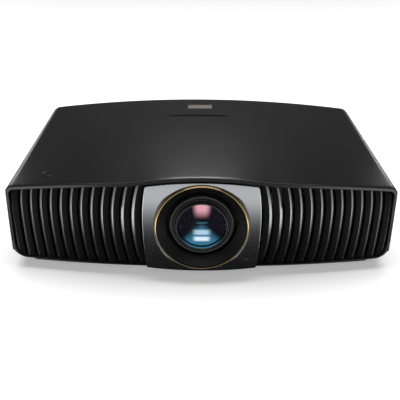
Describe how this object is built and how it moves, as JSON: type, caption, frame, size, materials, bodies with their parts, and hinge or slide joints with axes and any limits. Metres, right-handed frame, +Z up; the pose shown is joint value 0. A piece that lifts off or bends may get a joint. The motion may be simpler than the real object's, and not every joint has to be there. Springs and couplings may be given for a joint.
{
  "type": "home projector",
  "caption": "Black home cinema projector with finned front grilles, a metallic lens bezel with a gold ring, lens shift and focus drives, fans, rear ports and screw feet.",
  "frame": {"origin": "on the floor under the middle of the body's width and depth", "axes": "+Z up, +X to the right as the lens is faced, the lens looks along -Y"},
  "size_m": [0.528, 0.4, 0.16],
  "materials": {
    "satin_black": "satin moulded, fine texture",
    "case_black": "matt moulded, fine texture",
    "fin_black": "satin moulded",
    "gunmetal": "satin metallic paint, fine brushed",
    "gold": "polished gold-tone anodised",
    "well_black": "matt, ribbed against stray light",
    "barrel_black": "satin",
    "lens_glass": "coated, clear",
    "gloss_black": "gloss",
    "steel": "plated",
    "aluminium": "as cast and machined",
    "circuit_board": "solder mask",
    "rubber": "matt",
    "filter_mesh": "pleated fleece",
    "gear_plastic": "moulded"
  },
  "bodies": {
    "root": {"top_cover": "satin_black", "bottom_case": "case_black", "left_grille": "fin_black", "right_grille": "fin_black", "badge_plate": "gold", "nameplate": "gloss_black", "indicator_window": "gloss_black", "lens_bezel": "gunmetal", "ir_window": "gloss_black", "button_trim_ring": "gloss_black", "lens_trim_ring": "gold", "lens_well": "well_black", "lens_mount": "aluminium", "v_shift_motor": "steel", "intake_fan_frame": "case_black", "exhaust_fan_frame": "case_black", "intake_filter": "filter_mesh", "laser_heatsink": "aluminium", "optical_engine": "aluminium", "dmd_heatsink": "aluminium", "laser_module": "aluminium", "power_supply": "circuit_board", "main_board": "circuit_board", "rear_panel": "case_black", "lan_port": "steel", "hdmi_port_1": "steel", "hdmi_port_2": "steel", "usb_port": "steel", "serial_port": "steel", "trigger_jack": "case_black", "audio_jack": "case_black", "ac_inlet": "case_black", "cover_screw_1": "steel", "cover_screw_2": "steel", "cover_screw_3": "steel", "cover_screw_4": "steel"},
    "power_button": {"power_button": "satin_black"},
    "intake_rotor": {"intake_fan_rotor": "fin_black"},
    "exhaust_rotor": {"exhaust_fan_rotor": "fin_black"},
    "light_wheel": {"phosphor_wheel": "steel"},
    "v_carriage": {"v_shift_plate": "aluminium", "h_shift_motor": "steel"},
    "v_screw": {"v_lead_screw": "steel"},
    "h_carriage": {"h_shift_plate": "aluminium", "lens_barrel": "barrel_black", "rear_lens": "lens_glass", "focus_motor": "steel"},
    "h_screw": {"h_lead_screw": "steel"},
    "focus_gear": {"focus_ring": "gear_plastic"},
    "focus_pinion": {"focus_pinion": "gear_plastic"},
    "front_cell": {"front_lens_cell": "barrel_black", "front_lens": "lens_glass"},
    "foot_1_post": {"foot_1_stud": "steel"},
    "foot_1_knob": {"foot_1_pad": "rubber"},
    "foot_2_post": {"foot_2_stud": "steel"},
    "foot_2_knob": {"foot_2_pad": "rubber"},
    "foot_3_post": {"foot_3_stud": "steel"},
    "foot_3_knob": {"foot_3_pad": "rubber"},
    "foot_4_post": {"foot_4_stud": "steel"},
    "foot_4_knob": {"foot_4_pad": "rubber"}
  },
  "joints": [
    {"name": "power_press", "type": "slide", "parent": "root", "child": "power_button", "axis": [0, 0, -1], "range_m": [0, 0.001], "stiffness_N_per_m": 600, "springref_m": -0.0015},
    {"name": "intake_fan_spin", "type": "hinge", "parent": "root", "child": "intake_rotor", "pos_m": [-0.167, -0.118, 0.07295], "axis": [0, 1, 0], "continuous": true},
    {"name": "exhaust_fan_spin", "type": "hinge", "parent": "root", "child": "exhaust_rotor", "pos_m": [0.167, -0.118, 0.07295], "axis": [0, 1, 0], "continuous": true},
    {"name": "light_wheel_spin", "type": "hinge", "parent": "root", "child": "light_wheel", "pos_m": [-0.078, -0.0355, 0.07], "axis": [1, 0, 0], "continuous": true},
    {"name": "v_shift", "type": "slide", "parent": "root", "child": "v_carriage", "axis": [0, 0, 1], "range_m": [-0.0035, 0.0035]},
    {"name": "v_screw_turn", "type": "hinge", "parent": "root", "child": "v_screw", "pos_m": [0.06545, -0.1221, 0.08725], "axis": [0, 0, 1], "range_deg": [-700, 700]},
    {"name": "h_shift", "type": "slide", "parent": "v_carriage", "child": "h_carriage", "axis": [1, 0, 0], "range_m": [-0.0024, 0.0024]},
    {"name": "h_screw_turn", "type": "hinge", "parent": "v_carriage", "child": "h_screw", "pos_m": [0, -0.1106, 0.1327], "axis": [1, 0, 0], "range_deg": [-500, 500]},
    {"name": "focus_turn", "type": "hinge", "parent": "h_carriage", "child": "focus_gear", "pos_m": [0, -0.143, 0.08725], "axis": [0, 1, 0], "range_deg": [-40, 40]},
    {"name": "focus_pinion_turn", "type": "hinge", "parent": "h_carriage", "child": "focus_pinion", "pos_m": [-0.05569, -0.143, 0.06698], "axis": [0, 1, 0], "range_deg": [-121, 121]},
    {"name": "focus_slide", "type": "slide", "parent": "h_carriage", "child": "front_cell", "axis": [0, 1, 0], "range_m": [-0.0015, 0.0015]},
    {"name": "foot_1_screw", "type": "slide", "parent": "root", "child": "foot_1_post", "axis": [0, 0, -1], "range_m": [0, 0.012]},
    {"name": "foot_1_turn", "type": "hinge", "parent": "foot_1_post", "child": "foot_1_knob", "pos_m": [-0.223, -0.118, 0.005], "axis": [0, 0, -1], "range_deg": [0, 2890]},
    {"name": "foot_2_screw", "type": "slide", "parent": "root", "child": "foot_2_post", "axis": [0, 0, -1], "range_m": [0, 0.012]},
    {"name": "foot_2_turn", "type": "hinge", "parent": "foot_2_post", "child": "foot_2_knob", "pos_m": [0.223, -0.118, 0.005], "axis": [0, 0, -1], "range_deg": [0, 2890]},
    {"name": "foot_3_screw", "type": "slide", "parent": "root", "child": "foot_3_post", "axis": [0, 0, -1], "range_m": [0, 0.012]},
    {"name": "foot_3_turn", "type": "hinge", "parent": "foot_3_post", "child": "foot_3_knob", "pos_m": [-0.223, 0.15, 0.005], "axis": [0, 0, -1], "range_deg": [0, 2890]},
    {"name": "foot_4_screw", "type": "slide", "parent": "root", "child": "foot_4_post", "axis": [0, 0, -1], "range_m": [0, 0.012]},
    {"name": "foot_4_turn", "type": "hinge", "parent": "foot_4_post", "child": "foot_4_knob", "pos_m": [0.223, 0.15, 0.005], "axis": [0, 0, -1], "range_deg": [0, 2890]}
  ],
  "couplings": [
    {"joint": "v_screw_turn", "follows": "v_shift", "rad_per_m": -3141.6},
    {"joint": "h_screw_turn", "follows": "h_shift", "rad_per_m": -3141.6},
    {"joint": "focus_turn", "follows": "focus_slide", "rad_per_m": 465.42},
    {"joint": "focus_pinion_turn", "follows": "focus_slide", "rad_per_m": -1396.3},
    {"joint": "foot_1_turn", "follows": "foot_1_screw", "rad_per_m": 4188.8},
    {"joint": "foot_2_turn", "follows": "foot_2_screw", "rad_per_m": 4188.8},
    {"joint": "foot_3_turn", "follows": "foot_3_screw", "rad_per_m": 4188.8},
    {"joint": "foot_4_turn", "follows": "foot_4_screw", "rad_per_m": 4188.8}
  ]
}
